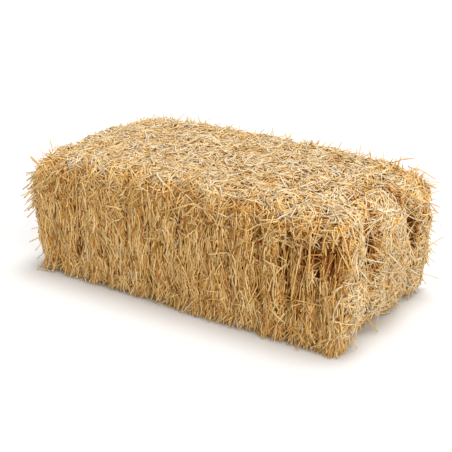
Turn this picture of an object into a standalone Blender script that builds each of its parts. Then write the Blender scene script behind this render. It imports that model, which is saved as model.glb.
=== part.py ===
"""Square straw bale held by two loops of twine, at its real size in metres.

The bale lies on a wide face, its length along X and its height along +Z.
Its origin is the centre of its footprint. It is a row of pressed flakes, and
each flake is a slab of straw that would come away once the twine is cut.
"""

import math

import bmesh
import bpy
from mathutils import Vector, noise

# Driving dimensions
LENGTH = 0.94
WIDTH = 0.465
HEIGHT = 0.345
FLAKE_COUNT = 12
FLAKE_GAP = 0.0006
TWINE_DIAMETER = 0.004
TWINE_SPACING = 0.22

# How the corners of the plain box are rounded, towards the ends, the sides, up and down
END_ROUND = 0.045
SIDE_ROUND = 0.038
TOP_ROUND = 0.050
BASE_ROUND = 0.014

# How the pressed straw swells and sinks
CROWN_DROP_ENDS = 0.034
CROWN_DROP_SIDES = 0.013
RIGHT_END_BULGE = 0.032
LEFT_END_BULGE = 0.040
END_BULGE_REACH = 0.080
SIDE_BULGE = 0.008
CREASE_DEPTH = 0.007
LAST_CREASE_DEPTH = 0.013
CREASE_REACH = 0.010
LUMP_DEPTH = 0.008

# The twine's bite: a wide dip in the straw, and a narrow slot that the twine lies in
DIP_REACH = 0.024
DIP_DEPTH_END = 0.030
DIP_DEPTH_TOP = 0.006
TWINE_DEPTH = 0.007
TWINE_DEPTH_BASE = 0.0055
TWINE_CORNER_RADIUS = 0.042
TWINE_CLEARANCE = 0.0015
SLOT_HALF_WIDTH = 0.005
SHOULDER_HALF_WIDTH = 0.016
DIP_HALF_WIDTH = 0.034
TWINE_SIDES_RESOLUTION = 1

# The hollow under the top edge of the front face, near the right end
HOLLOW_CENTRE = Vector((0.435, -0.22, 0.25))
HOLLOW_REACH = 0.038
HOLLOW_DEPTH = 0.024

# The right end's lower edge stands off the floor, most in its front half
LIFT_HEIGHT = 0.034
LIFT_Y = -0.09
LIFT_REACH = 0.12

# The knot on the left end, and its two tails
KNOT_HEIGHT = 0.215
KNOT_RADIUS = 0.0055
TAIL_LENGTH = 0.040
TAIL_SPREAD = 0.010
TAIL_LIFT = 0.016

TWINE_RADIUS = TWINE_DIAMETER / 2
TWINE_Y = TWINE_SPACING / 2
HALF_LENGTH = LENGTH / 2
HALF_WIDTH = WIDTH / 2
SLOT_FLOOR = TWINE_RADIUS + TWINE_CLEARANCE

STRAW_COLOR = (0.604, 0.396, 0.162, 1.0)
TWINE_COLOR = (0.479, 0.296, 0.110, 1.0)


def clear_scene():
    for obj in list(bpy.data.objects):
        bpy.data.objects.remove(obj, do_unlink=True)


def make_material(name, color, roughness):
    material = bpy.data.materials.new(name)
    material.use_nodes = True
    shader = material.node_tree.nodes["Principled BSDF"]
    shader.inputs["Base Color"].default_value = color
    shader.inputs["Roughness"].default_value = roughness
    shader.inputs["Metallic"].default_value = 0.0
    return material


def clamp(value, low, high):
    return min(max(value, low), high)


def bell(distance, reach):
    """1 at no distance, falling smoothly to 0 past the reach."""
    return math.exp(-((distance / reach) ** 2))


def flake_edges():
    """The planes between the flakes, from the left end to the right one."""
    shares = [1 + 0.13 * math.sin(2.4 * i + 1) for i in range(FLAKE_COUNT)]
    edges = [-HALF_LENGTH]
    for share in shares:
        edges.append(edges[-1] + LENGTH * share / sum(shares))
    return edges[:-1] + [HALF_LENGTH]


FLAKE_EDGES = flake_edges()


def outward(box_point):
    """The rounded bale's core point, and the way out of it, for a point on the plain box."""
    x, y, z = box_point
    core = Vector(
        (
            clamp(x, END_ROUND - HALF_LENGTH, HALF_LENGTH - END_ROUND),
            clamp(y, SIDE_ROUND - HALF_WIDTH, HALF_WIDTH - SIDE_ROUND),
            clamp(z, BASE_ROUND, HEIGHT - TOP_ROUND),
        )
    )
    radii = Vector((END_ROUND, SIDE_ROUND, TOP_ROUND if z > core.z else BASE_ROUND))
    way = Vector((x - core.x, y - core.y, z - core.z))
    way = Vector((way.x / radii.x, way.y / radii.y, way.z / radii.z)).normalized()
    return core, Vector((way.x * radii.x, way.y * radii.y, way.z * radii.z))


def crease_depth(x):
    """How far the straw sinks in where two flakes meet."""
    deepest = 0.0
    for i, edge in enumerate(FLAKE_EDGES[1:-1], start=1):
        near_the_right_end = clamp((i - FLAKE_COUNT + 4) / 3, 0, 1)
        depth = CREASE_DEPTH + near_the_right_end * (LAST_CREASE_DEPTH - CREASE_DEPTH)
        deepest = max(deepest, depth * bell(x - edge, CREASE_REACH))
    return deepest


def dip_depth(y, way):
    """How far the tight twine draws the straw in, most on the ends."""
    near_twine = bell(abs(y) - TWINE_Y, DIP_REACH)
    return near_twine * (DIP_DEPTH_END * way.x**2 + DIP_DEPTH_TOP * max(way.z, 0) ** 2)


def lump_depth(x, y, z, way):
    """Bundles of straw: long and upright on the sides, short ones on top and on the ends."""
    on_side = noise.noise(Vector((x * 42, y * 3, z * 7)))
    on_top = noise.noise(Vector((x * 15, y * 17, 3.7)))
    on_end = noise.noise(Vector((4.1, y * 19, z * 16)))
    lump = on_side * way.y**2 + on_top * max(way.z, 0) ** 2 + on_end * way.x**2
    return LUMP_DEPTH * (0.5 + 0.5 * lump)


def swollen(point):
    """The smooth warp of the whole bale: crowned top, bulged ends and sides."""
    along = point.x / HALF_LENGTH
    across = point.y / HALF_WIDTH
    up = point.z / HEIGHT
    from_middle = abs(2 * up - 1)
    drop = CROWN_DROP_ENDS * along**4 + CROWN_DROP_SIDES * across**4
    end_bulge = RIGHT_END_BULGE if along > 0 else LEFT_END_BULGE
    near_end = max(abs(point.x) - HALF_LENGTH + END_BULGE_REACH, 0) / END_BULGE_REACH
    lift = 0.0
    if along > 0:
        lift = LIFT_HEIGHT * near_end**2 * bell(point.y - LIFT_Y, LIFT_REACH)
    return Vector(
        (
            point.x - math.copysign(near_end**2 * end_bulge * from_middle**2.5, along),
            point.y - across**5 * SIDE_BULGE * from_middle**2,
            point.z - drop * up**2 + lift * (1 - up) ** 3,
        )
    )


def loop_point(x, y, z, inset=0.0):
    """Where the twine's centreline is, for a point on the plain box, or as far inside it."""
    low = TWINE_DEPTH_BASE + TWINE_CORNER_RADIUS
    high = HEIGHT - DIP_DEPTH_TOP - TWINE_DEPTH - TWINE_CORNER_RADIUS
    far = HALF_LENGTH - DIP_DEPTH_END - TWINE_DEPTH - TWINE_CORNER_RADIUS
    core = Vector((clamp(x, -far, far), y, clamp(z, low, high)))
    way = (Vector((x, y, z)) - core).normalized()
    return swollen(core + way * (TWINE_CORNER_RADIUS - inset))


def bale_point(x, y, z):
    """Where the straw's surface is, for a point on the plain box."""
    if abs(abs(y) - TWINE_Y) <= SLOT_HALF_WIDTH + 1e-6:
        return loop_point(x, y, z, SLOT_FLOOR)
    core, reach = outward((x, y, z))
    way = reach.normalized()
    depth = dip_depth(y, way)
    if way.z > -0.5:
        depth += crease_depth(x) + lump_depth(x, y, z, way)
        depth += HOLLOW_DEPTH * bell((Vector((x, y, z)) - HOLLOW_CENTRE).length, HOLLOW_REACH)
    return swollen(core + reach - way * depth)


def mirrored(values):
    return sorted({-value for value in values} | set(values))


def width_stations():
    """Where the slab is cut along Y: the rounded edges, and each slot with its shoulders."""
    half = [HALF_WIDTH, HALF_WIDTH - SIDE_ROUND / 2, HALF_WIDTH - SIDE_ROUND, TWINE_Y - 0.065]
    for offset in (SLOT_HALF_WIDTH, SHOULDER_HALF_WIDTH, DIP_HALF_WIDTH):
        half += [TWINE_Y - offset, TWINE_Y + offset]
    return mirrored(half)


def height_stations():
    top = HEIGHT - TOP_ROUND
    low = [0.0, BASE_ROUND]
    middle = [BASE_ROUND + (top - BASE_ROUND) * i / 4 for i in (1, 2, 3)]
    return low + middle + [top, top + TOP_ROUND / 2, HEIGHT]


def length_stations(start, end):
    """Where one flake is cut along X: close to its faces, and twice between."""
    if start <= -HALF_LENGTH:
        rounded = [start, start + END_ROUND / 2, start + END_ROUND]
        return rounded + [end - CREASE_REACH, end - FLAKE_GAP / 2]
    if end >= HALF_LENGTH:
        rounded = [end - END_ROUND, end - END_ROUND / 2, end]
        return [start + FLAKE_GAP / 2, start + CREASE_REACH] + rounded
    inner = [start + (end - start) * share for share in (0.3, 0.5, 0.7)]
    close = [start + FLAKE_GAP / 2, start + CREASE_REACH]
    return close + inner + [end - CREASE_REACH, end - FLAKE_GAP / 2]


def slab(stations):
    """A unit cube cut into as many spans along X, Y and Z as the stations have."""
    mesh = bmesh.new()
    bmesh.ops.create_cube(mesh, size=1)
    for axis, places in enumerate(stations):
        along = [
            edge
            for edge in mesh.edges
            if abs(edge.verts[0].co[axis] - edge.verts[1].co[axis]) > 0.5
        ]
        bmesh.ops.subdivide_edges(mesh, edges=along, cuts=len(places) - 2, use_grid_fill=True)
    return mesh


def make_flake(index, material, collection):
    start, end = FLAKE_EDGES[index], FLAKE_EDGES[index + 1]
    stations = (length_stations(start, end), width_stations(), height_stations())
    mesh = slab(stations)

    # The faces pressed against the next flakes stay flat, as one face each
    for side in (-0.5, 0.5):
        outer_end = start <= -HALF_LENGTH if side < 0 else end >= HALF_LENGTH
        if not outer_end:
            pressed = [
                face for face in mesh.faces if all(abs(v.co.x - side) < 1e-5 for v in face.verts)
            ]
            bmesh.ops.dissolve_faces(mesh, faces=pressed)

    for vertex in mesh.verts:
        place = [
            places[round((share + 0.5) * (len(places) - 1))]
            for places, share in zip(stations, vertex.co)
        ]
        vertex.co = bale_point(*place)
    bmesh.ops.recalc_face_normals(mesh, faces=mesh.faces)

    name = f"flake_{index + 1:02d}"
    data = bpy.data.meshes.new(name)
    mesh.to_mesh(data)
    mesh.free()
    data.materials.append(material)
    flake = bpy.data.objects.new(name, data)
    collection.objects.link(flake)
    return flake


def tube(name, points, closed):
    """A round cord through the points, as a mesh with welded ends."""
    curve = bpy.data.curves.new(name, "CURVE")
    curve.dimensions = "3D"
    curve.bevel_depth = TWINE_RADIUS
    curve.bevel_resolution = TWINE_SIDES_RESOLUTION
    curve.use_fill_caps = not closed
    spline = curve.splines.new("POLY")
    spline.points.add(len(points) - 1)
    for target, point in zip(spline.points, points):
        target.co = (*point, 1)
    spline.use_cyclic_u = closed
    guide = bpy.data.objects.new(name + "_guide", curve)
    bpy.context.scene.collection.objects.link(guide)
    bpy.context.view_layer.update()

    graph = bpy.context.evaluated_depsgraph_get()
    data = bpy.data.meshes.new_from_object(guide.evaluated_get(graph))
    bpy.data.objects.remove(guide, do_unlink=True)
    bpy.data.curves.remove(curve)
    mesh = bmesh.new()
    mesh.from_mesh(data)
    bmesh.ops.remove_doubles(mesh, verts=mesh.verts, dist=1e-5)
    bmesh.ops.recalc_face_normals(mesh, faces=mesh.faces)
    mesh.to_mesh(data)
    mesh.free()
    return bpy.data.objects.new(name, data)


def twine_route(side):
    """The closed loop along the top, down the right end, back underneath and up the left end."""
    heights = height_stations()
    left = length_stations(-HALF_LENGTH, FLAKE_EDGES[1])
    right = length_stations(FLAKE_EDGES[-2], HALF_LENGTH)

    route = [(x, HEIGHT) for x in left + FLAKE_EDGES[2:-2] + right]
    route += [(HALF_LENGTH, z) for z in reversed(heights[:-1])]
    route += [(x, 0.0) for x in right[-2::-1] + left[::-1]]
    route += [(-HALF_LENGTH, z) for z in heights[1:-1]]
    return [loop_point(x, side * TWINE_Y, z) for x, z in route]


def make_knot(side, cutter_collection):
    """The lump of the knot and its two tails, as meshes to be joined to the loop."""
    seat = loop_point(-HALF_LENGTH, side * TWINE_Y, KNOT_HEIGHT)
    middle = seat + Vector((-KNOT_RADIUS * 0.8, 0, 0))
    mesh = bmesh.new()
    bmesh.ops.create_uvsphere(mesh, u_segments=10, v_segments=6, radius=KNOT_RADIUS)
    bmesh.ops.scale(mesh, vec=(1, 1, 1.5), verts=mesh.verts)
    bmesh.ops.translate(mesh, vec=middle, verts=mesh.verts)
    data = bpy.data.meshes.new("knot_lump")
    mesh.to_mesh(data)
    mesh.free()
    lump = bpy.data.objects.new("knot_lump", data)

    pieces = [lump]
    for spread in (-1, 1):
        tail = []
        for step in range(5):
            share = step / 4
            sideways = spread * TAIL_SPREAD * share**1.5
            away = Vector((-TAIL_LIFT * share, sideways, -TAIL_LENGTH * share))
            tail.append(middle + Vector((-0.001, spread * 0.0022, -0.002)) + away)
        pieces.append(tube("knot_tail", tail, closed=False))
    for piece in pieces:
        cutter_collection.objects.link(piece)
        piece.hide_render = True
        piece.display_type = "WIRE"
    return pieces


def make_twine(name, side, material, collection, cutter_collection):
    twine = tube(name, twine_route(side), closed=True)
    twine.data.materials.clear()
    twine.data.materials.append(material)
    twine.data.shade_smooth()
    collection.objects.link(twine)
    for piece in make_knot(side, cutter_collection):
        union = twine.modifiers.new("join_" + piece.name, "BOOLEAN")
        union.operation = "UNION"
        union.solver = "EXACT"
        union.object = piece
    return twine


def main():
    clear_scene()
    bale = bpy.data.collections.new("straw_bale")
    cutters = bpy.data.collections.new("joined_pieces")
    for collection in (bale, cutters):
        bpy.context.scene.collection.children.link(collection)
    straw = make_material("straw", STRAW_COLOR, 0.75)
    sisal = make_material("twine", TWINE_COLOR, 0.85)

    for index in range(FLAKE_COUNT):
        make_flake(index, straw, bale)
    make_twine("twine_front", -1, sisal, bale, cutters)
    make_twine("twine_back", 1, sisal, bale, cutters)


main()
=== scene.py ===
import math

import bmesh
import bpy
import numpy as np
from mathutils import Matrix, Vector, noise
from mathutils.bvhtree import BVHTree


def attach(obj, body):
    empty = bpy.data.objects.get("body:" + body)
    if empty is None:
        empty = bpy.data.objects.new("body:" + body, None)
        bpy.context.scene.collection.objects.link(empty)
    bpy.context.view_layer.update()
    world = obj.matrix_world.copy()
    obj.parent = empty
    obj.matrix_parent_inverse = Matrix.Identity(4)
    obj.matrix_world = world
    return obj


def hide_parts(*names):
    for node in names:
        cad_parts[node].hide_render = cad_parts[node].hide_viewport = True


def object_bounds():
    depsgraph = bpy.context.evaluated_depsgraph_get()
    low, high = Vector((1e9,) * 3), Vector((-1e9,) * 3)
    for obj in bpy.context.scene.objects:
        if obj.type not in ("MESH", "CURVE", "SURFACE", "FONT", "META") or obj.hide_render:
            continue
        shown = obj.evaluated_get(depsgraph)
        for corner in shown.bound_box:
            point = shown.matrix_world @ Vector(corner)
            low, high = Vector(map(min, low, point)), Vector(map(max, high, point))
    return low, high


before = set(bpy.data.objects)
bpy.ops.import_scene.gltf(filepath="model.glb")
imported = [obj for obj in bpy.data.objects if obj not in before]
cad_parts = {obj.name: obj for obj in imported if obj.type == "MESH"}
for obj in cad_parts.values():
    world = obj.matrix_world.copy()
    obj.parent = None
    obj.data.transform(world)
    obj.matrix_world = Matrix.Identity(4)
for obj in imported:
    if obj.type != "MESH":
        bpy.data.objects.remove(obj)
cadLow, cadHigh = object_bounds()
rng = np.random.default_rng(41)
flakeNames = sorted(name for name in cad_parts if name.startswith("flake"))
print("frame loaded:", len(flakeNames), "flakes")


# The bale's skin: the flakes' outer faces, which every straw is laid on
bale = {
    "twineY": 0.11,  # how far from the middle each twine runs
    "endFrom": 0.40,  # a spot further along than this belongs to an end
    "pressedGap": 2e-4,  # a face within this of a flake's end lies against the next flake
    "slotHalfWidth": 0.0062,
    "slotShoulder": (0.016, 0.004),  # how far from the twine a slot's shoulders lie, give or take
    "slotBridged": 0.85,  # how much of the twine's narrow slot the straw closes over
    "slotBridgedLeft": 0.3,
    "slotOpenAt": (0.05, 0.27),  # the heights at which the left end's slots stay open
    "slotBareAt": (0.05, 0.28),  # and at which straws keep off the twine there
    "coreInset": 0.0175,  # how far under the skin the core lies
    "coreInsetThin": 0.008,  # and how much further behind broken straw
    "seamDepth": 0.0035,  # how far the straw sinks in between two flakes
    "lastSeamDepth": 0.009,  # the wide gap near the right end, which closes towards the floor
    "lastSeamOpen": ((0.03, 0.11, 0.18, 0.27, 0.31), (0.1, 0.35, 1, 1, 0.3)),  # heights, share of depth
    "seamReach": 0.0058,
    "wander": 0.006,  # how far seams and clefts stray from a straight line
    "cleftDepth": (0.006, 0.018),  # the clefts that the twine pulls in the left and the right end
    "cleftReach": (0.013, 0.015),
    "cleftOpen": ((0.03, 0.14, 0.19, 0.30, 0.325), (0.1, 0.3, 1, 1, 0.2)),
    "cleftHeights": (0.0, 0.10, 0.17, 0.24, 0.29),
    "cleftsRight": ((-0.110, -0.104, -0.094, -0.084, -0.075), (0.110, 0.122, 0.129, 0.116, 0.070)),
    "pastSolids": (0.036, 0.022, 0.018),  # how far loose straws may reach past the solids
    "floorGap": 0.0008,
}
thinPlaces = [  # broken straw on the front face: place along and up, reach along and up, depth
    (0.380, 0.212, 0.082, 0.076, 0.0145),
    (0.335, 0.105, 0.028, 0.026, 0.012),
]
hollows = [  # centre, reach, depth
    (Vector((0.440, -0.225, 0.245)), 0.028, 0.014),
    (Vector((0.462, 0.045, 0.090)), 0.026, 0.008),
]
baleHeight = cadHigh.z


def mergedCopy(node):
    mesh = bmesh.new()
    mesh.from_mesh(node.data)
    bmesh.ops.remove_doubles(mesh, verts=mesh.verts, dist=1e-5)
    return mesh


def isPressed(face, index, low, high):  # a face that lies against the next flake
    xs = [v.co.x for v in face.verts]
    if index > 0 and max(xs) < low + bale["pressedGap"]:
        return True
    return index < len(flakeNames) - 1 and min(xs) > high - bale["pressedGap"]


skinPoints, skinTris, flakeSpan = [], [], []
for index, name in enumerate(flakeNames):
    mesh = mergedCopy(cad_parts[name])
    bmesh.ops.triangulate(mesh, faces=mesh.faces)
    mesh.verts.index_update()
    xs = [v.co.x for v in mesh.verts]
    flakeSpan.append((min(xs), max(xs)))
    start = len(skinPoints)
    skinPoints += [tuple(v.co) for v in mesh.verts]
    for face in mesh.faces:
        if not isPressed(face, index, *flakeSpan[-1]):
            skinTris.append([start + v.index for v in face.verts])
    mesh.free()
skinPoints, skinTris = np.array(skinPoints), np.array(skinTris)
slotTree = BVHTree.FromPolygons(skinPoints.tolist(), skinTris.tolist())  # the twine lies in open slots

# The skin for the straws closes over most of each slot, level with the nearest shoulders
fromTwine = np.abs(np.abs(skinPoints[:, 1]) - bale["twineY"])
shoulders = skinPoints[np.abs(fromTwine - bale["slotShoulder"][0]) < bale["slotShoulder"][1]]
openLow, openHigh = bale["slotOpenAt"]
for i in np.nonzero(fromTwine < bale["slotHalfWidth"])[0]:
    here = skinPoints[i]
    near = shoulders[np.abs(shoulders[:, 1] - here[1]) < 0.03]
    atEnd = abs(here[0]) > bale["endFrom"]
    onLeft = here[0] < -bale["endFrom"] and openLow < here[2] < openHigh
    gap = np.hypot((near[:, 0] - here[0]) * (1 if atEnd else 4), near[:, 2] - here[2])
    rim = near[np.argsort(gap)[:2]].mean(axis=0)
    closed = bale["slotBridgedLeft" if onLeft else "slotBridged"]
    skinPoints[i, 0] += closed * (rim[0] - here[0]) * atEnd
    skinPoints[i, 2] += closed * (rim[2] - here[2])
skinTree = BVHTree.FromPolygons(skinPoints.tolist(), skinTris.tolist())
print("skin made:", len(skinTris), "triangles")

corners = skinPoints[skinTris]
triNormal = np.cross(corners[:, 1] - corners[:, 0], corners[:, 2] - corners[:, 0])
triArea = np.linalg.norm(triNormal, axis=1) / 2
triNormal /= 2 * triArea[:, None] + 1e-12

seamX = [(flakeSpan[i][1] + flakeSpan[i + 1][0]) / 2 for i in range(len(flakeSpan) - 1)]
seamDepths = [bale["seamDepth"] * rng.uniform(0.3, 1.4) for x in seamX]
seamDepths[-1], seamDepths[-2] = bale["lastSeamDepth"], bale["seamDepth"]


def bell(distance, reach):
    return math.exp(-((distance / reach) ** 2))


def cleftLines(x, z):  # where across the width the two clefts of an end run at this height
    return [np.interp(z, bale["cleftHeights"], line) * (x > 0) + side * bale["twineY"] * (x <= 0)
            for side, line in zip((-1, 1), bale["cleftsRight"])]


def sunken(spot, normal):  # how far the straw lies below the solids' faces here
    depth = 0.0
    if abs(normal.y) > 0.6:  # seams, open at some heights and closed at others
        wander = bale["wander"] * noise.noise(Vector((spot.x * 9, 4.0, spot.z * 14)))
        for x, deep in zip(seamX, seamDepths):
            if abs(spot.x - x) < 0.03:
                broken = min(max(0.6 + 1.6 * noise.noise(Vector((x * 50, 1.0, spot.z * 11))), 0), 1.0)
                if x == seamX[-1]:
                    broken *= np.interp(spot.z, *bale["lastSeamOpen"])
                depth += deep * broken * bell(spot.x + wander - x, bale["seamReach"])
    if normal.y < -0.6:  # broken straw on the front
        torn = max(noise.noise(Vector((spot.x * 95, 7.0, spot.z * 15))) + 0.25, 0) * 1.5
        for along, up, reachAlong, reachUp, deep in thinPlaces:
            depth += deep * torn * bell(spot.x - along, reachAlong) * bell(spot.z - up, reachUp)
    if abs(normal.x) > 0.35:  # the clefts of the ends
        right = spot.x > 0
        wander = bale["wander"] * noise.noise(Vector((9.0, spot.x, spot.z * 25)))
        fade = np.interp(spot.z, *bale["cleftOpen"])
        for line in cleftLines(spot.x, spot.z):
            off = abs(spot.y - line)
            if off < 0.05:
                depth += bale["cleftDepth"][right] * fade * bell(off + wander, bale["cleftReach"][right])
    for centre, reach, deep in hollows:
        depth += deep * bell((spot - centre).length, reach)
    return depth


# How the straws lie: sizes in metres, angles in degrees
lie = {
    "weight": (1.15, 1.15, 1.2, 0.45),  # for each region: side, top, end, underside
    "length": (1.0, 0.9, 0.9, 0.9),
    "calm": (0.55, 0.9, 0.9, 0.9),  # the sides' straws are straighter than the others
    "thickness": (1.04, 1.1, 1.16, 1.1),
    "sideSpread": 9,
    "straySpread": 30,  # for the share of the sides' straws that lie astray
    "tousledBand": ((-0.30, 0.05), (0.120, 0.076)),  # places along the bale, height of the band there
    "tousledSpread": 52,
    "floorBand": 0.055,
    "floorSpread": 27,
    "bundleSize": 0.038,
    "bundleSpread": 13,
    "inCleft": 0.014,  # straws this near to a cleft's middle run down it
    "byCleft": 0.055,  # and many of those this near run into it
    "cleftSpread": 30,
    "endSpring": 0.0016,  # how far the ends of straws spring up
    "kinkShare": 0.16,
    "leafShare": 0.15,
    "leafWidth": 1.5,
    "leafFlat": 0.25,
    "lumpsPerMetre": 24,
    "gapsPerMetre": 33,
    "sprayRoot": 0.006,
    "sprayClear": 0.015,  # how far sprays keep off the twine on the left end
    "singleLift": 0.0045,
}


def unit(v):
    return v / (np.linalg.norm(v, axis=-1, keepdims=True) + 1e-12)


def sampleSkin(count, weights):
    share = triArea * weights
    tri = rng.choice(len(skinTris), count, p=share / share.sum())
    a, b = rng.random(count), rng.random(count)
    flip = a + b > 1
    a[flip], b[flip] = 1 - a[flip], 1 - b[flip]
    c = corners[tri]
    point = c[:, 0] + a[:, None] * (c[:, 1] - c[:, 0]) + b[:, None] * (c[:, 2] - c[:, 0])
    return point, triNormal[tri]


def tangents(normal, reference):
    along = unit(reference - (reference * normal).sum(1, keepdims=True) * normal)
    return along, np.cross(normal, along)


def regions(normal):  # 0 side, 1 top, 2 end, 3 underside
    kind = np.where(np.abs(normal[:, 0]) > np.abs(normal[:, 1]), 2, 0)
    kind = np.where(normal[:, 2] > 0.5, 1, kind)
    return np.where(normal[:, 2] < -0.6, 3, kind)


def byRegion(values, kind):
    return np.array(values)[kind]


def bundleAngle(point, size, seed):  # neighbours share a direction, as straws of one bundle do
    cell = np.floor(point / size + seed * 0.37)
    mixed = np.sin(cell @ np.array([12.99, 78.23, 37.72]) + seed) * 43758.5453
    return (mixed - np.floor(mixed)) * math.pi


def softWave(point, sizes, seed):  # a smooth drift between -1 and 1 over the surface
    turn = point / np.array(sizes) + seed
    wave = np.sin(turn[:, 0] + 1.7 * np.sin(turn[:, 2])) + np.sin(turn[:, 1] * 1.3 + turn[:, 2])
    return wave * 0.5


def strawAngle(point, kind, stray):  # from upright on the sides and ends, from lengthways on top
    count = len(point)
    spin = rng.random(count)
    wide = rng.normal(0, 1, count)
    tousled = np.interp(point[:, 0], *lie["tousledBand"])
    upper = point[:, 2] > baleHeight - tousled + 0.028 * softWave(point, (0.04, 1, 1), 2)
    low = point[:, 2] < lie["floorBand"] + 0.015 * softWave(point, (0.04, 1, 1), 5)
    spread = np.radians(lie["sideSpread"])
    side = spread * softWave(point, (0.035, 1, 0.06), 0.4) + spread * wide
    side = np.where(spin < stray, np.radians(lie["straySpread"]) * wide, side)
    side = np.where(spin < stray * 0.25, spin / stray * 4 * math.pi, side)
    side = np.where(upper & (spin > 0.2), np.radians(lie["tousledSpread"]) * wide, side)
    side = np.where(low, np.radians(lie["floorSpread"]) * wide, side)
    free = rng.random(count) * math.pi
    bundled = bundleAngle(point, lie["bundleSize"], 3.0) + np.radians(lie["bundleSpread"]) * wide
    mixed = np.where(spin < 0.4, bundled, free)
    front, back = cleftLines(point[:, 0], point[:, 2])
    gap = np.minimum(np.abs(point[:, 1] - front), np.abs(point[:, 1] - back))
    spread = np.radians(lie["cleftSpread"])
    into = np.where(spin < 0.45, math.pi / 2 + spread * wide, mixed)
    end = np.where(gap < lie["inCleft"], spread * wide + 0.35, np.where(gap < lie["byCleft"], into, mixed))
    return np.select([kind == 0, kind == 1, kind == 2], [side, mixed, end], free)


def layOnSkin(points, lift, bump):  # lifts them off the skin, over its lumps and into its clefts
    count, steps = points.shape[:2]
    placed, normals = np.empty_like(points), np.empty_like(points)
    level = np.empty((count, steps))
    find = skinTree.find_nearest
    for i in range(count):
        for k in range(steps):
            hit, normal, _, _ = find(Vector(points[i, k]))
            clump = noise.noise(hit * lie["lumpsPerMetre"]) + 0.6 * noise.noise(hit * 65)
            clump += 1.3 * abs(normal.x) * noise.noise(hit * 14)
            rise = lift[i, k] + bump * clump - sunken(hit, normal)
            placed[i, k] = hit + normal * rise
            normals[i, k] = normal
            level[i, k] = rise
    return placed, normals, level.mean(axis=1)


# Each straw takes one of 64 strips of colour: four bands, each from its darkest strip to its lightest. The
# deep band and the darker strips are painted shade for straws that lie low in the gaps
strips = {
    "count": 64,
    "perBand": 16,
    "deep": 0,
    "golden": 16,
    "pale": 32,
    "bright": 48,
    "margin": 0.14,  # left free along a strip, and at its two ends
    "endMargin": 0.03,
    "mostPale": (0.03, 0.88, 0.68, 0.03),  # for each region: side, top, end, underside; pale straw on the top and ends is partly bleached straw and partly painted light, and the shaded sides get little
    # painted light: bright straws go only to the lit top and ends, none to the shaded sides
    "brightness": (0.0, 1.0, 0.8, 0.0),
    "difference": (0.43, 0.27, 0.27, 0.43),  # between straws at one depth
    # painted light: the ends' straws take lighter strips, for the light falling on them from the right
    "paintedLight": (0.0, 0.0, 0.15, 0.0),
}


def pickToneWithPaintedShading(kind, brightShare, level):  # painted shade and light: the deeper a straw lies, the darker its strip of colour, and the higher it lies, the paler
    count = len(kind)
    pick = rng.random(count)
    mostPale = byRegion(strips["mostPale"], kind)
    # painted light: the higher a straw lies, the likelier it is pale
    paleShare = np.minimum(np.maximum((level + 0.008) / 0.007, 0.1), mostPale)
    band = np.where(rng.random(count) < paleShare, strips["pale"], strips["golden"])
    brightShare = brightShare * byRegion(strips["brightness"], kind)
    band = np.where(pick < brightShare, strips["bright"], band)
    # painted shade: straws that lie deep take the dark red-brown deep band
    band = np.where(pick > 1 - np.clip((-0.0055 - level) / 0.008, 0, 0.92), strips["deep"], band)
    # painted shade: the lower a straw lies, the darker its strip within its band
    place = (level + 0.014) / 0.019 + rng.normal(0, 1, count) * byRegion(strips["difference"], kind)
    lightest = strips["perBand"] - 1
    place = np.round((place + byRegion(strips["paintedLight"], kind)) * lightest)
    return band + np.clip(place, 0, lightest).astype(int)


def limited(points, radius):  # keeps straws off the floor and within reach of the solids
    past = np.array(bale["pastSolids"])
    low = np.array(cadLow) - past
    high = np.array(cadHigh) + past
    low[2] = 0
    margin = radius[:, None, None] + bale["floorGap"]
    return np.clip(points, low + margin, high - margin)


def sweepStraws(points, normals, radius, flat, roll, tone, sides, tipSize=0.86):  # closed tubes along lines
    count, steps = points.shape[:2]
    ahead = np.empty_like(points)
    ahead[:, 1:-1] = points[:, 2:] - points[:, :-2]
    ahead[:, 0], ahead[:, -1] = points[:, 1] - points[:, 0], points[:, -1] - points[:, -2]
    ahead = unit(ahead)
    across = unit(np.cross(ahead, normals))
    up = np.cross(across, ahead)
    turn = roll[:, None] + np.arange(sides) * 2 * math.pi / sides
    wide = np.cos(turn)[:, None, :, None] * across[:, :, None, :]
    tall = np.sin(turn)[:, None, :, None] * up[:, :, None, :] * flat[:, None, None, None]
    taper = np.linspace(1.0, tipSize, steps)[None, :, None, None]
    ring = points[:, :, None, :] + (wide + tall) * radius[:, None, None, None] * taper
    verts = ring.reshape(-1, 3)

    base = (np.arange(count) * steps * sides)[:, None, None]
    k = np.arange(steps - 1)[None, :, None] * sides
    j = np.arange(sides)[None, None, :]
    j2 = (j + 1) % sides
    quads = np.stack([base + k + j, base + k + sides + j, base + k + sides + j2, base + k + j2], -1)
    low = (tone + strips["margin"]) / strips["count"]
    high = (tone + 1 - strips["margin"]) / strips["count"]
    u = strips["endMargin"] + (1 - 2 * strips["endMargin"]) * np.arange(steps) / (steps - 1)
    uvQuads = np.empty(quads.shape + (2,))
    for corner, (du, v) in enumerate(((0, low), (1, low), (1, high), (0, high))):
        uvQuads[..., corner, 0] = u[du : steps - 1 + du][None, :, None]
        uvQuads[..., corner, 1] = v[:, None, None]

    order = np.arange(sides)
    first = base[:, 0] + order[None, :]
    last = base[:, 0] + (steps - 1) * sides + order[::-1][None, :]
    capTurn = 2 * math.pi * order / sides
    middle = (tone + 0.5)[:, None] / strips["count"]
    capV = middle + 0.34 / strips["count"] * np.sin(capTurn)[None, :]
    capU = np.broadcast_to(0.012 * np.cos(capTurn)[None, :], capV.shape)
    uvFirst = np.stack([0.015 + capU, capV], -1)
    uvLast = np.stack([0.985 + capU, capV], -1)
    return dict(verts=verts, quads=quads.reshape(-1, 4), uvQuads=uvQuads.reshape(-1, 4, 2),
                caps=np.concatenate([first, last]), uvCaps=np.concatenate([uvFirst, uvLast]))


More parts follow.
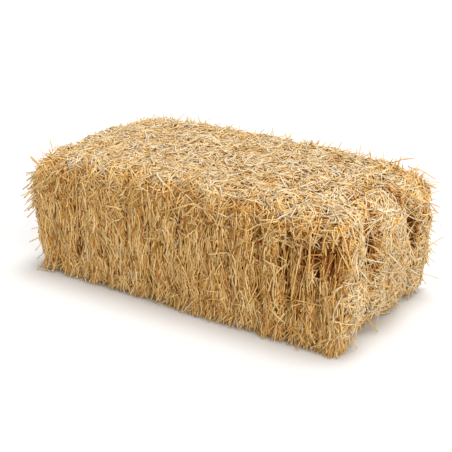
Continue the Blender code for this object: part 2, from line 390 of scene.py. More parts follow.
def meshFromArrays(name, parts):  # joins many straws and their core into one mesh
    verts, loops, starts, totals, uvs = [], [], [], [], []
    vertCount = loopCount = 0
    for part in parts:
        verts.append(part["verts"])
        for faces, uv in ((part["quads"], part["uvQuads"]), (part["caps"], part["uvCaps"])):
            if not len(faces):
                continue
            size = faces.shape[1]
            loops.append((faces + vertCount).ravel())
            starts.append(loopCount + np.arange(len(faces)) * size)
            totals.append(np.full(len(faces), size))
            uvs.append(uv.reshape(-1, 2))
            loopCount += faces.size
        vertCount += len(part["verts"])
    verts, loops = np.concatenate(verts), np.concatenate(loops)
    starts, totals, uvs = np.concatenate(starts), np.concatenate(totals), np.concatenate(uvs)
    data = bpy.data.meshes.new(name)
    data.vertices.add(len(verts))
    data.vertices.foreach_set("co", verts.astype(np.float32).ravel())
    data.loops.add(len(loops))
    data.loops.foreach_set("vertex_index", loops.astype(np.int32))
    data.polygons.add(len(starts))
    data.polygons.foreach_set("loop_start", starts.astype(np.int32))
    data.polygons.foreach_set("loop_total", totals.astype(np.int32))
    data.update(calc_edges=True)
    data.uv_layers.new(name="OFBake").data.foreach_set("uv", uvs.astype(np.float32).ravel())
    data.polygons.foreach_set("use_smooth", totals == 4)
    data.validate()
    triangles = int((totals - 2).sum())
    return data, triangles


# The layers of straw, from the deep ones that close the gaps to the loose ones on top; their share of
# bright straws, painted light, grows from none deep down to most on top
layers = {
    "deep": dict(count=14200, steps=3, length=(0.045, 0.09), radius=(0.0020, 0.0034),
                 depth=(-0.016, -0.008), bump=0.002, stray=0.1, bright=0.0, curl=0.03, tilt=0.0,
                 gaps=-1.0, stops=0.2, thin=0.0, clear=0.0),
    "packed": dict(count=16000, steps=3, length=(0.04, 0.09), radius=(0.0012, 0.0022),
                   depth=(-0.010, -0.003), bump=0.004, stray=0.14, bright=0.02, curl=0.08, tilt=0.05,
                   gaps=-0.75, stops=0.5, thin=0.1, clear=0.006),
    "outer": dict(count=17000, steps=4, length=(0.03, 0.095), radius=(0.0011, 0.0021),
                  depth=(-0.005, 0.001), bump=0.005, stray=0.2, bright=0.05, curl=0.09, tilt=0.08,
                  gaps=-0.33, stops=0.85, thin=0.5, clear=0.011),
    "loose": dict(count=6000, steps=5, length=(0.025, 0.095), radius=(0.0012, 0.0022),
                  depth=(-0.001, 0.004), bump=0.005, stray=0.4, bright=0.18, curl=0.11, tilt=0.13,
                  gaps=-0.1, stops=0.85, thin=0.5, clear=0.011),
}


def overTwine(point, width):  # straws that would hide the twines and their knots on the left end
    gap = np.abs(np.abs(point[:, 1]) - bale["twineY"])
    low, high = bale["slotBareAt"]
    return (gap < width) & (point[:, 0] < -bale["endFrom"]) & (point[:, 2] > low) & (point[:, 2] < high)


def layStraws(name):
    layer = layers[name]
    count, steps = layer["count"], layer["steps"]
    point, normal = sampleSkin(count, byRegion(lie["weight"], regions(triNormal)))
    kind = regions(normal)
    length = rng.uniform(*layer["length"], count) * rng.uniform(0.6, 1.0, count)
    length *= byRegion(lie["length"], kind)
    calm = byRegion(lie["calm"], kind)
    reference = np.eye(3)[np.where((kind == 1) | (kind == 3), 0, 2)]
    ahead, beside = tangents(normal, reference)
    angle = strawAngle(point, kind, layer["stray"])
    way = np.cos(angle)[:, None] * ahead + np.sin(angle)[:, None] * beside
    sideways = np.cross(normal, way)
    # straws of the long sides stand on the floor and don't go through it
    reach = length * 0.5 * np.abs(way[:, 2])
    point[:, 2] = np.where(kind == 0, np.maximum(point[:, 2], reach + 0.001), point[:, 2])
    # most straws that would bridge a cleft of the ends stop at it instead
    for line in cleftLines(point[:, 0], point[:, 2]):
        gap = point[:, 1] - line
        reach = length * 0.5 * np.abs(way[:, 1])
        left = point[:, 0] < 0
        bridges = (kind == 2) & (np.abs(gap) < reach) & (reach > 0.006)
        bridges &= rng.random(count) < np.where(left, min(layer["stops"] * 2, 1), layer["stops"])
        away = np.where(gap < 0, -1, 1) * (reach + np.where(left, 0.003, 0))
        point[:, 1] = np.where(bridges, line + away, point[:, 1])
    # each line is bowed, kinked and waved along the skin
    at = np.linspace(-0.5, 0.5, steps)
    bow = rng.normal(0, layer["curl"], count) * calm
    kink = np.where(rng.random(count) < lie["kinkShare"], rng.normal(0, 0.6, count), 0) * calm
    bend = bow[:, None] * (at[None, :] ** 2 - 0.1) * 4 + kink[:, None] * np.maximum(at[None, :] - 0.1, 0)
    wave = rng.normal(0, layer["curl"], count) * calm
    bend = bend + wave[:, None] * (at**3 * 8 - at)[None, :]
    line = point[:, None] + length[:, None, None] * (
        at[None, :, None] * way[:, None] + bend[:, :, None] * sideways[:, None]
    )
    # and its ends and tilt lift it off the skin
    level = rng.uniform(*layer["depth"], count)
    ends = np.abs(rng.normal(0, lie["endSpring"], (count, 2)))
    lift = level[:, None] + ends[:, :1] * np.maximum(-at * 2, 0) ** 2 * 1.5
    lift = lift + ends[:, 1:] * np.maximum(at * 2, 0) ** 2 * 1.5
    tilt = rng.normal(0, layer["tilt"], count) * calm
    lift = lift + (tilt * length)[:, None] * at[None, :]
    placed, normals, rise = layOnSkin(line, lift, layer["bump"])
    radius = rng.uniform(*layer["radius"], count) * byRegion(lie["thickness"], kind)
    leaf = rng.random(count) < lie["leafShare"]
    flat = np.where(leaf, lie["leafFlat"], rng.uniform(0.6, 1.0, count))
    radius = np.where(leaf, radius * lie["leafWidth"], radius)
    tone = pickToneWithPaintedShading(kind, layer["bright"], rise)
    # some are left out: in gaps, where the straw is thin, and over the knots
    patch = np.array([noise.noise(Vector(p) * lie["gapsPerMetre"]) for p in point])
    stay = patch > layer["gaps"] + 0.1 * (kind == 0)
    along, up, reachAlong, reachUp, _ = thinPlaces[0]
    thin = np.exp(-(((point[:, 0] - along) / reachAlong) ** 2) - ((point[:, 2] - up) / reachUp) ** 2)
    stay &= rng.random(count) > layer["thin"] * thin * (kind == 0) * (point[:, 1] < 0)
    stay &= (layer["clear"] == 0) | ~overTwine(placed[:, steps // 2], layer["clear"])
    print("laid", stay.sum(), name, "straws")
    return dict(points=limited(placed, radius)[stay], normals=normals[stay], radius=radius[stay],
                flat=flat[stay], roll=rng.random(stay.sum()) * 6.28, tone=tone[stay])


# Straws that stick out: sprays at the left end, tufts along the top edges and a fringe by the floor
sprays = {
    "left spray": dict(
        count=75, low=(-0.458, -0.222, 0.19), high=(-0.435, -0.16, 0.295),
        way=(-0.62, -0.18, -0.74), spread=0.17, out=0.75, length=(0.032, 0.062),
        radius=(0.0016, 0.0024), fair=0.25),
    "left shoulder": dict(
        count=70, low=(-0.455, -0.235, 0.19), high=(-0.395, -0.222, 0.31),
        way=(-0.62, -0.16, -0.74), spread=0.24, out=0.20, length=(0.038, 0.066),
        radius=(0.0014, 0.0023), fair=0.3),
    "left upper wisps": dict(
        count=8, low=(-0.455, -0.215, 0.26), high=(-0.43, -0.17, 0.30),
        way=(-0.75, -0.2, 0.1), spread=0.3, out=0.8, length=(0.018, 0.03),
        radius=(0.0018, 0.0026), fair=0.08),
    "left shag": dict(
        count=210, low=(-0.465, -0.16, 0.03), high=(-0.44, 0.22, 0.27),
        way=(-0.1, 0.0, -0.5), spread=0.7, out=0.25, length=(0.02, 0.06), radius=(0.0010, 0.0020)),
    "right shag": dict(
        count=240, low=(0.43, -0.20, 0.06), high=(0.462, 0.19, 0.29),
        way=(0.1, 0.05, -0.2), spread=0.9, out=0.18, length=(0.03, 0.08), radius=(0.0010, 0.0020)),
    "right upper wisps": dict(
        count=26, low=(0.42, 0.08, 0.27), high=(0.462, 0.22, 0.32),
        way=(0.8, 0.25, -0.2), spread=0.3, out=0.7, length=(0.03, 0.05), radius=(0.0012, 0.0020)),
    "right far wisps": dict(
        count=26, low=(0.44, 0.19, 0.06), high=(0.455, 0.225, 0.26),
        way=(0.5, 0.5, -0.3), spread=0.45, out=0.5, length=(0.02, 0.035), radius=(0.0011, 0.0018)),
    "back edge": dict(
        count=330, low=(-0.40, 0.16, 0.27), high=(0.44, 0.225, 0.335),
        way=(0.3, 0.2, 0.1), spread=0.9, out=0.45, length=(0.02, 0.045), radius=(0.0012, 0.0022)),
    "back edge right": dict(
        count=60, low=(0.15, 0.17, 0.30), high=(0.43, 0.225, 0.335),
        way=(0.6, 0.2, 0.3), spread=0.6, out=0.6, length=(0.02, 0.035), radius=(0.0012, 0.0022)),
    "back left tuft": dict(
        count=26, low=(-0.46, 0.17, 0.29), high=(-0.40, 0.22, 0.33),
        way=(-0.2, 0.2, 0.3), spread=0.8, out=0.5, length=(0.015, 0.03), radius=(0.0013, 0.0023)),
    "front shag": dict(
        count=260, low=(-0.44, -0.225, 0.06), high=(0.44, -0.21, 0.31),
        way=(0.05, -0.1, -0.6), spread=0.6, out=0.25, length=(0.02, 0.055),
        radius=(0.0010, 0.0018), fair=0.04),
    "front fringe": dict(
        count=460, low=(-0.45, -0.235, 0.27), high=(0.45, -0.16, 0.33),
        way=(0.0, -0.3, -0.3), spread=0.9, out=0.25, length=(0.02, 0.05),
        radius=(0.0011, 0.0021), fair=0.3),
    "floor fringe": dict(
        count=230, low=(-0.45, -0.232, 0.03), high=(0.0, -0.215, 0.05),
        way=(0.0, -0.1, -0.95), spread=0.4, out=0.35, length=(0.03, 0.045),
        radius=(0.0011, 0.0020), fair=0.08),
    "floor fringe middle": dict(
        count=420, low=(-0.02, -0.238, 0.022), high=(0.44, -0.222, 0.05),
        way=(0.0, -0.25, -0.8), spread=0.35, out=0.5, length=(0.03, 0.045),
        radius=(0.0012, 0.0021), fair=0.08),
    "floor fringe corner": dict(
        count=110, low=(0.43, -0.235, 0.02), high=(0.465, -0.17, 0.06),
        way=(0.12, -0.1, -0.9), spread=0.25, out=0.4, length=(0.03, 0.045),
        radius=(0.0012, 0.0021), fair=0.2),
    "floor fringe right": dict(
        count=90, low=(0.45, 0.03, 0.035), high=(0.465, 0.21, 0.06),
        way=(0.0, 0.0, -0.9), spread=0.4, out=0.2, length=(0.025, 0.04), radius=(0.0011, 0.0020)),
}

# Single straws that catch the eye: their band of colour, radius and the points that they pass through
singles = [
    ("golden", 0.0021, [(-0.316, -0.21, 0.31), (-0.311, -0.22, 0.245),
                        (-0.312, -0.22, 0.18), (-0.314, -0.22, 0.12)]),
    ("golden", 0.0019, [(-0.279, -0.23, 0.225), (-0.258, -0.23, 0.237),
                        (-0.242, -0.22, 0.255), (-0.20, -0.225, 0.28)]),
    ("golden", 0.0019, [(-0.264, -0.225, 0.272), (-0.246, -0.224, 0.254),
                        (-0.224, -0.226, 0.231), (-0.221, -0.227, 0.205)]),
    ("golden", 0.0019, [(-0.403, -0.21, 0.305), (-0.363, -0.225, 0.282), (-0.333, -0.226, 0.272)]),
    ("pale", 0.0017, [(-0.276, -0.19, 0.331), (-0.255, -0.2, 0.325), (-0.234, -0.21, 0.315)]),
    ("golden", 0.0015, [(-0.093, -0.224, 0.265), (-0.075, -0.225, 0.269), (-0.058, -0.226, 0.273)]),
    ("golden", 0.0015, [(-0.068, -0.225, 0.272), (-0.068, -0.226, 0.24), (-0.068, -0.227, 0.21)]),
    ("golden", 0.0019, [(-0.033, -0.228, 0.248), (0.015, -0.224, 0.27),
                        (0.065, -0.222, 0.292), (0.108, -0.227, 0.258)]),
    ("golden", 0.0034, [(-0.463, -0.22, 0.306), (-0.443, -0.214, 0.285), (-0.417, -0.223, 0.267)]),
    ("golden", 0.0026, [(-0.480, -0.237, 0.195), (-0.454, -0.225, 0.223), (-0.414, -0.224, 0.253)]),
    ("golden", 0.0016, [(-0.431, -0.18, 0.347), (-0.427, -0.18, 0.333), (-0.423, -0.18, 0.318)]),
    ("golden", 0.0019, [(-0.466, -0.244, 0.076), (-0.452, -0.235, 0.085), (-0.437, -0.225, 0.094)]),
    ("golden", 0.0014, [(-0.466, -0.232, 0.110), (-0.454, -0.228, 0.114), (-0.443, -0.224, 0.117)]),
    ("golden", 0.0017, [(-0.457, -0.232, 0.050), (-0.447, -0.228, 0.063), (-0.439, -0.225, 0.076)]),
    ("golden", 0.0018, [(-0.450, -0.208, 0.293), (-0.43, -0.208, 0.299), (-0.406, -0.208, 0.304)]),
    ("golden", 0.0021, [(-0.480, -0.230, 0.138), (-0.446, -0.226, 0.172), (-0.426, -0.228, 0.197)]),
    ("golden", 0.0016, [(-0.480, -0.239, 0.158), (-0.468, -0.228, 0.174), (-0.455, -0.219, 0.192)]),
    ("golden", 0.0022, [(0.172, -0.224, 0.279), (0.196, -0.227, 0.246),
                        (0.230, -0.219, 0.273), (0.284, -0.222, 0.293)]),
    ("golden", 0.0020, [(0.233, -0.22, 0.051), (0.248, -0.23, 0.023), (0.256, -0.243, 0.004)]),
    ("golden", 0.0019, [(0.446, -0.09, 0.045), (0.454, -0.075, 0.022), (0.464, -0.064, 0.003)]),
    ("pale", 0.0018, [(0.448, -0.217, 0.185), (0.458, -0.2, 0.178), (0.463, -0.165, 0.171)]),
    ("bright", 0.0018, [(0.435, -0.054, 0.305), (0.45, -0.027, 0.278), (0.452, 0.038, 0.273)]),
    ("bright", 0.0019, [(0.453, 0.036, 0.271), (0.458, 0.125, 0.222), (0.463, 0.17, 0.205)]),
    ("bright", 0.0017, [(0.435, -0.174, 0.301), (0.445, -0.098, 0.283), (0.452, -0.056, 0.28)]),
    ("pale", 0.0017, [(0.457, -0.082, 0.166), (0.462, -0.02, 0.14), (0.462, 0.044, 0.115)]),
    ("pale", 0.0017, [(0.404, 0.011, 0.322), (0.437, -0.018, 0.302), (0.452, -0.014, 0.279)]),
    ("pale", 0.0018, [(0.455, 0.129, 0.212), (0.465, 0.065, 0.203), (0.466, 0.03, 0.178)]),
    ("golden", 0.0019, [(0.345, 0.200, 0.320), (0.380, 0.204, 0.338), (0.408, 0.205, 0.345)]),
    ("golden", 0.0018, [(0.395, 0.200, 0.323), (0.430, 0.210, 0.316), (0.462, 0.217, 0.298)]),
    ("golden", 0.0024, [(0.366, -0.225, 0.285), (0.367, -0.227, 0.235), (0.367, -0.227, 0.185)]),
    ("golden", 0.0022, [(0.422, -0.206, 0.306), (0.450, -0.215, 0.265),
                        (0.460, -0.205, 0.220), (0.463, -0.185, 0.170)]),
    ("golden", 0.0019, [(0.343, -0.229, 0.22), (0.334, -0.229, 0.165), (0.325, -0.229, 0.112)]),
    ("golden", 0.0024, [(0.257, -0.230, 0.133), (0.235, -0.228, 0.10), (0.212, -0.226, 0.073)]),
    ("bright", 0.0017, [(0.278, -0.099, 0.330), (0.29, -0.06, 0.333), (0.300, -0.02, 0.333)]),
    ("pale", 0.0017, [(0.101, -0.083, 0.34), (0.13, -0.09, 0.338), (0.16, -0.097, 0.335)]),
    ("pale", 0.0017, [(-0.448, -0.24, 0.002), (-0.43, -0.236, 0.004), (-0.41, -0.23, 0.003)]),
]


def laySingles():
    steps = 6
    lines, tones = [], []
    for band, _, spots in singles:
        spots = np.array(spots)
        gone = np.concatenate([[0], np.cumsum(np.linalg.norm(np.diff(spots, axis=0), axis=1))])
        marks = np.linspace(0, gone[-1], steps)
        line = np.stack([np.interp(marks, gone, spots[:, i]) for i in range(3)], 1)
        for k, spot in enumerate(line):
            hit, normal, _, _ = skinTree.find_nearest(Vector(spot))
            rise = (Vector(spot) - hit).dot(normal)
            line[k] += np.array(normal) * max(lie["singleLift"] - rise, 0)
        lines.append(line)
        tones.append(strips[band] + rng.integers(8, 14))
    lines, count = np.array(lines), len(lines)
    radius = np.array([radius for _, radius, _ in singles])
    normals = np.broadcast_to(np.array([0.3, -0.4, 0.85]), lines.shape)
    return dict(points=limited(lines, radius), normals=normals, radius=radius,
                flat=rng.uniform(0.7, 1.0, count), roll=rng.random(count) * 6.28, tone=np.array(tones))


def throwSpray(spray):
    count, steps = spray["count"], 4
    root = rng.uniform(spray["low"], spray["high"], (count, 3))
    hits = [skinTree.find_nearest(Vector(p)) for p in root]
    base = np.array([hit[0] - hit[1] * lie["sprayRoot"] for hit in hits])
    normal = np.array([tuple(hit[1]) for hit in hits])
    way = unit(np.array(spray["way"]) + rng.normal(0, spray["spread"], (count, 3)))
    rise = (way * normal).sum(1)
    way += (np.clip(np.abs(rise), 0.06, spray["out"]) - rise)[:, None] * normal
    way = unit(way)
    length = rng.uniform(*spray["length"], count)
    at = np.linspace(0, 1, steps)
    sag = rng.normal(0, 0.08, (count, 3)) - np.array([0, 0, 0.03])
    line = base[:, None] + length[:, None, None] * (
        at[None, :, None] * way[:, None] + (at**2)[None, :, None] * sag[:, None]
    )
    radius = rng.uniform(*spray["radius"], count)
    fair = spray.get("fair", 0.5)
    band = rng.choice([strips["golden"], strips["pale"], strips["bright"]], count,
                      p=(1 - fair, fair * 0.8, fair * 0.2))
    normals = np.broadcast_to(unit(np.cross(way, rng.normal(0, 1, (count, 3))))[:, None], line.shape)
    stay = ~overTwine(base, lie["sprayClear"])
    count = stay.sum()
    return dict(points=limited(line, radius)[stay], normals=normals[stay], radius=radius[stay],
                flat=rng.uniform(0.4, 1.0, count), roll=rng.random(count) * 6.28,
                tone=band[stay] + rng.integers(7, 16, count))


def coreOf(name, index):  # the flake's own form, drawn in under its straws
    mesh = mergedCopy(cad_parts[name])
    low, high = flakeSpan[index]
    bmesh.ops.recalc_face_normals(mesh, faces=mesh.faces)
    mesh.normal_update()
    inward = {v: v.normal.copy() for v in mesh.verts}
    for v, normal in inward.items():
        pressed = min(abs(v.co.x - low), abs(v.co.x - high)) < 0.002
        if pressed and 0 < index < len(flakeNames) - 1:
            normal.x = 0
        thin = max(bell(v.co.x - at[0], at[2]) * bell(v.co.z - at[1], at[3]) for at in thinPlaces)
        inset = bale["coreInset"] + (bale["coreInsetThin"] * thin if normal.y < -0.6 else 0)
        v.co -= normal * (inset + sunken(v.co, normal))
    bmesh.ops.triangulate(mesh, faces=mesh.faces)
    mesh.verts.index_update()
    verts = np.array([tuple(v.co) for v in mesh.verts])
    tris = np.array([[v.index for v in face.verts] for face in mesh.faces])
    mesh.free()
    spot = verts[tris]  # painted shade: it takes dark colours from the deep band, for the shade that shows between the straws
    along = np.clip(0.1 + 2.2 * spot[..., 2], 0.02, 0.98)
    run = spot[..., 0] * 3.1 + spot[..., 1] * 2.3
    row = 0.01 + 0.22 * (run - run.min()) / (np.ptp(run) + 1e-9)
    return dict(verts=verts, quads=np.empty((0, 4), int), uvQuads=np.empty((0, 4, 2)), caps=tris,
                uvCaps=np.stack([along, row], -1))


# Materials
class Socket:  # a value in the shader that can be reckoned with
    def __init__(self, look, out):
        self.look, self.out = look, out

    def __add__(self, other):
        return self.look.maths("ADD", self, other)

    def __mul__(self, other):
        return self.look.maths("MULTIPLY", self, other)

    def __sub__(self, other):
        return self.look.maths("SUBTRACT", self, other)

    def __rsub__(self, other):
        return self.look.maths("SUBTRACT", other, self)

    def __gt__(self, other):
        return self.look.maths("GREATER_THAN", self, other)

    def __lt__(self, other):
        return self.look.maths("LESS_THAN", self, other)

    __radd__, __rmul__ = __add__, __mul__


class Look:  # a material, and the one way that nodes are added to it
    def __init__(self, name):
        self.material = bpy.data.materials.new(name)
        self.material.use_nodes = True
        self.tree = self.material.node_tree
        self.shader = self.tree.nodes["Principled BSDF"]

    def plug(self, socket, value):
        if isinstance(value, Socket):
            self.tree.links.new(value.out, socket)
        else:
            socket.default_value = value

    def node(self, kind, settings=None, values=None):
        made = self.tree.nodes.new(kind)
        for key, value in (settings or {}).items():
            if key == "stops":
                ramp = made.color_ramp.elements
                while len(ramp) < len(value):
                    ramp.new(0.5)
                for element, (place, colour) in zip(ramp, value):
                    element.position = place
                    element.color = (*colour, 1)
            else:
                setattr(made, key, value)
        for key, value in (values or {}).items():
            self.plug(made.inputs[key], value)
        return made

    def maths(self, operation, a, b=0.0):
        made = self.node("ShaderNodeMath", {"operation": operation}, {0: a, 1: b})
        return Socket(self, made.outputs[0])

    def mix(self, factor, a, b, blend="MIX"):
        made = self.node("ShaderNodeMix", {"data_type": "RGBA", "blend_type": blend},
                         {"Factor": factor, 6: a, 7: b})
        return Socket(self, made.outputs[2])

    def finish(self, **values):
        for key, value in values.items():
            self.plug(self.shader.inputs[key.replace("_", " ")], value)
        return self.material


strawTones = {  # four bands of strips, each from its darkest straw to its lightest
    # painted shade: the deep band's dark red-brown stands for the shade down between the straws
    "deep": [(0.215, 0.063, 0.012), (0.345, 0.110, 0.022), (0.475, 0.178, 0.039), (0.61, 0.268, 0.066)],
    "golden": [(0.495, 0.218, 0.043), (0.70, 0.392, 0.106), (0.85, 0.560, 0.200), (0.95, 0.735, 0.375)],
    "pale": [(0.63, 0.315, 0.074), (0.79, 0.525, 0.198), (0.84, 0.675, 0.395), (0.84, 0.740, 0.550)],
    "bright": [(0.77, 0.560, 0.270), (0.82, 0.680, 0.415), (0.84, 0.745, 0.555), (0.84, 0.785, 0.660)],
}
strawFinish = {
    "weather": 0.7,  # how far the shade drifts along a straw
    "grain": (0.45, (0.66, 0.42, 0.17, 1)),  # strength, tint
    "joint": (0.5, (0.22, 0.11, 0.03, 1)),
    "jointWidth": 0.012,
    "cutEnd": (0.4, (0.88, 0.74, 0.46, 1)),
    "cutFrom": 0.475,  # from the middle, in lengths of the straw
    "gloss": 0.12,
    "roughness": (0.45, 0.25),
}
twineFinish = {
    "dark": (0.40, 0.24, 0.085, 1),
    "fair": (0.66, 0.47, 0.22, 1),
    "wear": (0.5, (0.30, 0.17, 0.06, 1)),
    "roughness": (0.7, 0.25),
}


def strawLook():
    look = Look("straw")
    uv = look.node("ShaderNodeUVMap", {"uv_map": "OFBake"})
    split = look.node("ShaderNodeSeparateXYZ", values={0: Socket(look, uv.outputs[0])})
    along, row = Socket(look, split.outputs[0]), Socket(look, split.outputs[1])
    strip = look.maths("FLOOR", row * strips["count"])
    perBand = strips["perBand"]
    # the strip's place in its band, low for straws that lie deep: painted shade
    shade = look.maths("FRACT", strip * (1 / perBand)) * (perBand / (perBand - 1))
    chance = Socket(look, look.node("ShaderNodeTexWhiteNoise", {"noise_dimensions": "1D"},
                                    {"W": strip * 2.11 + 7.5}).outputs["Value"])
    place = look.node("ShaderNodeCombineXYZ", values={0: along * 6, 1: row * 150, 2: strip * 0.7})
    grain = Socket(look, look.node("ShaderNodeTexNoise", values={
        "Vector": Socket(look, place.outputs[0]), "Scale": 1.0, "Detail": 3.0}).outputs[0])
    blotch = look.node("ShaderNodeCombineXYZ", values={0: along * 3, 1: strip * 5.3, 2: 2.0})
    weather = Socket(look, look.node("ShaderNodeTexNoise", values={
        "Vector": Socket(look, blotch.outputs[0]), "Scale": 1.0, "Detail": 1.0}).outputs[0])
    shade = shade + (weather - 0.5) * strawFinish["weather"]
    bands = []
    for tones in strawTones.values():
        stops = [(i / (len(tones) - 1), tone) for i, tone in enumerate(tones)]
        bands.append(Socket(look, look.node("ShaderNodeValToRGB", {"stops": stops}, {0: shade}).outputs[0]))
    colour = bands[0]
    for i, band in enumerate(bands[1:], start=1):
        colour = look.mix(row > i / len(bands), colour, band)
    strength, tint = strawFinish["grain"]
    colour = look.mix(grain * strength, colour, tint, "MULTIPLY")
    strength, tint = strawFinish["joint"]
    joint = look.maths("ABSOLUTE", along - (0.2 + 0.6 * chance)) < strawFinish["jointWidth"]
    colour = look.mix(joint * (chance > 0.4) * strength, colour, tint)
    strength, tint = strawFinish["cutEnd"]
    cut = look.maths("ABSOLUTE", along - 0.5) > strawFinish["cutFrom"]
    colour = look.mix(cut * strength, colour, tint)
    look.shader.inputs["Specular IOR Level"].default_value = strawFinish["gloss"]
    smooth, rough = strawFinish["roughness"]
    return look.finish(Base_Color=colour, Roughness=smooth + rough * grain)


def twineLook():
    look = Look("twine")
    coords = look.node("ShaderNodeTexCoord")
    hairs = Socket(look, look.node("ShaderNodeTexNoise", values={
        "Vector": Socket(look, coords.outputs["Object"]), "Scale": 900.0, "Detail": 4.0}).outputs[0])
    wear = Socket(look, look.node("ShaderNodeTexNoise", values={
        "Vector": Socket(look, coords.outputs["Object"]), "Scale": 40.0, "Detail": 2.0}).outputs[0])
    colour = look.mix(hairs, twineFinish["dark"], twineFinish["fair"])
    strength, tint = twineFinish["wear"]
    colour = look.mix(wear * strength, colour, tint)
    smooth, rough = twineFinish["roughness"]
    return look.finish(Base_Color=colour, Roughness=smooth + rough * hairs)


strawMaterial, twineMaterial = strawLook(), twineLook()
print("materials made")

batches = [layStraws(name) for name in layers]
batches += [throwSpray(spray) for spray in sprays.values()] + [laySingles()]
print("straws in all:", sum(len(batch["radius"]) for batch in batches))
inner = np.array([high for low, high in flakeSpan[:-1]])
totalTriangles = mostTriangles = 0
for index, name in enumerate(flakeNames):
    parts = [coreOf(name, index)]
    for batch in batches:
        home = np.searchsorted(inner, batch["points"].mean(axis=1)[:, 0])
        own = {key: values[home == index] for key, values in batch.items()}
        parts.append(sweepStraws(**own, sides=3))
    data, triangles = meshFromArrays("straw_" + name, parts)
    totalTriangles += triangles
    mostTriangles = max(mostTriangles, triangles)
    data.materials.append(strawMaterial)
    piece = bpy.data.objects.new("straw_" + name, data)
    bpy.context.scene.collection.objects.link(piece)
    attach(piece, "root")
    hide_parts(name)
print("flakes made:", totalTriangles, "triangles, at most", mostTriangles, "in one")


# The two loops of twine, each of two strands laid together, with a knot and two tails
twine = {
    "strandRadius": 0.00105,
    "strandOffset": 0.00095,
    "pitch": 0.013,
    "clearance": 0.0033,  # from the bottom of its slot
    "floorGap": 0.0026,
    "step": 0.0021,
    "coarseStep": 0.006,  # for the smoothing
    "smoothing": 3,
    "endCentre": 0.33,  # where the round ends of the loop are swept from
    "midHeight": 0.17,
    "knotHeight": 0.215,
    "knotTurns": 3.5,
    "knotLength": 0.011,
    "knotRadius": 0.0034,
    "coilRadius": 0.0019,
    "bightRadius": 0.0017,
    "tailLength": 0.040,
    "tailLift": 0.016,
    "tailSpread": 0.010,
    "tailTurns": 3,
    "brushHairs": 14,
    "brushHairRadius": 0.0003,
    "hairs": 260,
    "hairRadius": 0.00022,
    "strips": {"loop": 20, "tail": 22, "coil": 26, "hair": 28, "bight": 30},  # places in the UV map
}


def castLoop(y):  # the line of the loop: over the top, down the right end, back below and up the left
    spots = []

    def touch(origin, way, far):
        hit, normal, _, _ = slotTree.ray_cast(Vector(origin), Vector(way), far)
        if hit:
            out = Vector((normal.x, 0, normal.z)).normalized()
            spots.append(tuple(hit + out * twine["clearance"]))

    def roundEnd(centre, first, last):
        for turn in np.linspace(first, last, 70)[1:-1]:
            way = (math.cos(turn), 0, math.sin(turn))
            origin = (centre + 0.5 * way[0], y, twine["midHeight"] + 0.5 * way[2])
            touch(origin, (-way[0], 0, -way[2]), 0.45)

    reach = twine["endCentre"]
    for x in np.linspace(-reach, reach, 120):
        touch((x, y, 0.6), (0, 0, -1), 0.4)
    roundEnd(reach, math.pi / 2, -math.pi / 2)
    for x in np.linspace(reach, -reach, 120):
        touch((x, y, -0.3), (0, 0, 1), 0.4)
    roundEnd(-reach, -math.pi / 2, -3 * math.pi / 2)
    return np.array(spots)


def resampled(line, step):  # a closed line in even steps, and its length
    line = np.vstack([line, line[:1]])
    gone = np.concatenate([[0], np.cumsum(np.linalg.norm(np.diff(line, axis=0), axis=1))])
    marks = np.linspace(0, gone[-1], max(2, round(gone[-1] / step)) + 1)
    return np.stack([np.interp(marks, gone, line[:, i]) for i in range(3)], 1), gone[-1]


def layStrands(line, across, turns):  # two strands wound round a line
    ahead = unit(np.gradient(line, axis=0))
    out = unit(np.cross(across, ahead))
    turn = np.linspace(0, turns * 2 * math.pi, len(line))[:, None]
    swing = (np.cos(turn) * out + np.sin(turn) * across) * twine["strandOffset"]
    return np.stack([line + swing, line - swing])


def tubes(points, radius, across, part, sides):
    count = len(points)
    normals = np.broadcast_to(across, points.shape)
    return sweepStraws(points, normals, np.full(count, radius), np.ones(count), np.zeros(count),
                       np.full(count, twine["strips"][part]), sides, 1.0)


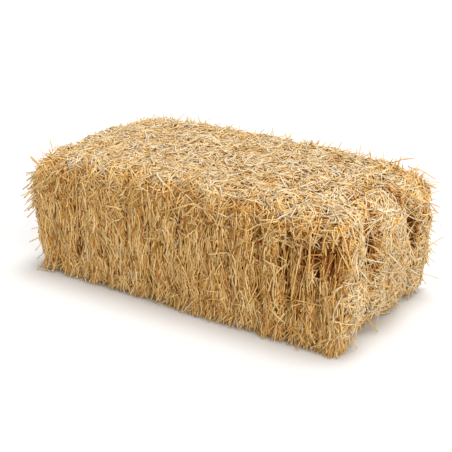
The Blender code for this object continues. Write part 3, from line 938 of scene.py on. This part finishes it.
def makeTwine(name, y):
    line, _ = resampled(castLoop(y), twine["coarseStep"])
    for _ in range(twine["smoothing"]):
        ring = line[:-1]
        ring = (np.roll(ring, 1, axis=0) + ring + np.roll(ring, -1, axis=0)) / 3
        line = np.vstack([ring, ring[:1]])
    line[:, 2] = np.maximum(line[:, 2], twine["floorGap"])
    fromKnot = np.where(line[:-1, 0] < -0.3, np.abs(line[:-1, 2] - twine["knotHeight"]), 9)
    line = np.roll(line[:-1], -int(np.argmin(fromKnot)), axis=0)  # the loop starts at its knot
    line, length = resampled(line, twine["step"])
    print(name, "is", round(length, 3), "m round")
    across, upright = np.array([0.0, 1.0, 0.0]), np.array([0.0, 0.0, 1.0])
    strands = layStrands(line, across, round(length / twine["pitch"]))
    parts = [tubes(strands, twine["strandRadius"], across, "loop", 6)]

    # the knot: a coil round both strands, and a bight over it
    knot = line[0] + np.array([-0.001, 0, 0])
    t = np.linspace(0, 1, 64)
    turn = t * twine["knotTurns"] * 2 * math.pi
    swell = twine["knotRadius"] * (0.75 + 0.35 * np.sin(t * math.pi))
    coil = np.stack([knot[0] + swell * np.cos(turn), knot[1] + swell * np.sin(turn),
                     knot[2] + (0.5 - t) * twine["knotLength"]], 1)
    parts.append(tubes(coil[None], twine["coilRadius"], upright, "coil", 8))
    bight = np.stack([knot[0] - 0.0046 - 0.0012 * np.sin(t * math.pi),
                      knot[1] + 0.0036 * np.cos(t * math.pi), knot[2] + 0.006 - 0.012 * t], 1)
    parts.append(tubes(bight[None], twine["bightRadius"], across, "bight", 8))

    # its two tails, each with a brush of fibres at the end
    for side in (-1, 1):
        share = np.linspace(0, 1, 40)
        tail = knot + np.stack([-0.003 - twine["tailLift"] * share,
                                side * (0.002 + twine["tailSpread"] * share**1.5),
                                -0.003 - twine["tailLength"] * share], 1)
        strands = layStrands(tail, across, twine["tailTurns"])
        parts.append(tubes(strands, twine["strandRadius"], across, "tail", 6))
        count = twine["brushHairs"]
        brush = rng.normal(0, 0.35, (count, 3)) + np.array([-0.4, 0.25 * side, -1.0])
        steps = np.linspace(0, 1, 4)[None, :, None]
        hair = tail[-1] + unit(brush)[:, None] * steps * rng.uniform(0.006, 0.012, (count, 1, 1))
        parts.append(tubes(hair, twine["brushHairRadius"], across, "hair", 3))

    # loose fibres along the loop
    pick = rng.integers(0, len(line) - 3, twine["hairs"])
    root, ahead = line[pick], unit(line[pick + 2] - line[pick])
    way = unit(ahead + rng.normal(0, 0.5, root.shape))
    steps = np.linspace(0, 1, 3)[None, :, None]
    hair = root[:, None] + way[:, None] * steps * rng.uniform(0.004, 0.010, (len(root), 1, 1))
    hair[:, :, 2] = np.maximum(hair[:, :, 2], 0.001)
    parts.append(tubes(hair, twine["hairRadius"], across, "hair", 3))

    data, triangles = meshFromArrays("cord_" + name, parts)
    data.materials.append(twineMaterial)
    piece = bpy.data.objects.new("cord_" + name, data)
    bpy.context.scene.collection.objects.link(piece)
    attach(piece, "root")
    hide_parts(name)
    return triangles


for name, y in (("twine_front", -bale["twineY"]), ("twine_back", bale["twineY"])):
    totalTriangles += makeTwine(name, y)
print("twines made; all together", totalTriangles, "triangles")


# The studio: a pale floor, soft light from above and a little right, and the camera
studio = {
    "floorSize": 40.0,
    "floorTone": (0.69, 0.70, 0.725, 1),
    "skyTone": (1.0, 0.94, 0.84, 1),  # warm, since a white sky leaves the straws' gloss grey
    "skyStrength": 0.488,
    "lamps": [  # name, way to it, strength, softness, colour
        ("softbox", (0.05, 0.15, 1.0), 2.90, 34.0, (1.0, 0.99, 0.985)),
        ("fill", (1.0, -0.44, 0.46), 2.02, 60.0, (1.0, 0.950, 0.86)),
    ],
    "target": (-0.0007, -0.0088, 0.1474),
    "azimuth": 33.98,
    "elevation": 21.68,
    "distance": 2.7517,
    "lens": 86.0,
}


def makeFloor():
    mesh = bmesh.new()
    bmesh.ops.create_grid(mesh, x_segments=1, y_segments=1, size=studio["floorSize"] / 2)
    data = bpy.data.meshes.new("floor")
    mesh.to_mesh(data)
    mesh.free()
    data.materials.append(Look("floor").finish(Base_Color=studio["floorTone"], Roughness=0.9))
    floor = bpy.data.objects.new("floor", data)
    bpy.context.scene.collection.objects.link(floor)


def makeLight():
    world = bpy.data.worlds.new("studio")
    bpy.context.scene.world = world
    world.use_nodes = True
    sky = world.node_tree.nodes["Background"]
    sky.inputs[0].default_value = studio["skyTone"]
    sky.inputs[1].default_value = studio["skyStrength"]
    for name, way, strength, softness, tone in studio["lamps"]:
        lamp = bpy.data.lights.new(name, "SUN")
        lamp.energy = strength
        lamp.angle = math.radians(softness)
        lamp.color = tone
        hung = bpy.data.objects.new(name, lamp)
        hung.rotation_mode = "QUATERNION"
        hung.rotation_quaternion = Vector(way).to_track_quat("Z", "Y")
        bpy.context.scene.collection.objects.link(hung)


def makeCamera():
    azimuth, elevation = math.radians(studio["azimuth"]), math.radians(studio["elevation"])
    back = Vector((math.sin(azimuth) * math.cos(elevation),
                   -math.cos(azimuth) * math.cos(elevation), math.sin(elevation)))
    data = bpy.data.cameras.new("camera")
    data.lens = studio["lens"]
    data.sensor_width = 36.0
    camera = bpy.data.objects.new("camera", data)
    camera.location = Vector(studio["target"]) + back * studio["distance"]
    camera.rotation_mode = "QUATERNION"
    camera.rotation_quaternion = (-back).to_track_quat("-Z", "Y")
    bpy.context.scene.collection.objects.link(camera)
    bpy.context.scene.camera = camera


makeFloor()
makeLight()
makeCamera()
print("studio made")
bpy.context.scene.view_settings.view_transform = "Standard"
bpy.context.scene.view_settings.look = "None"
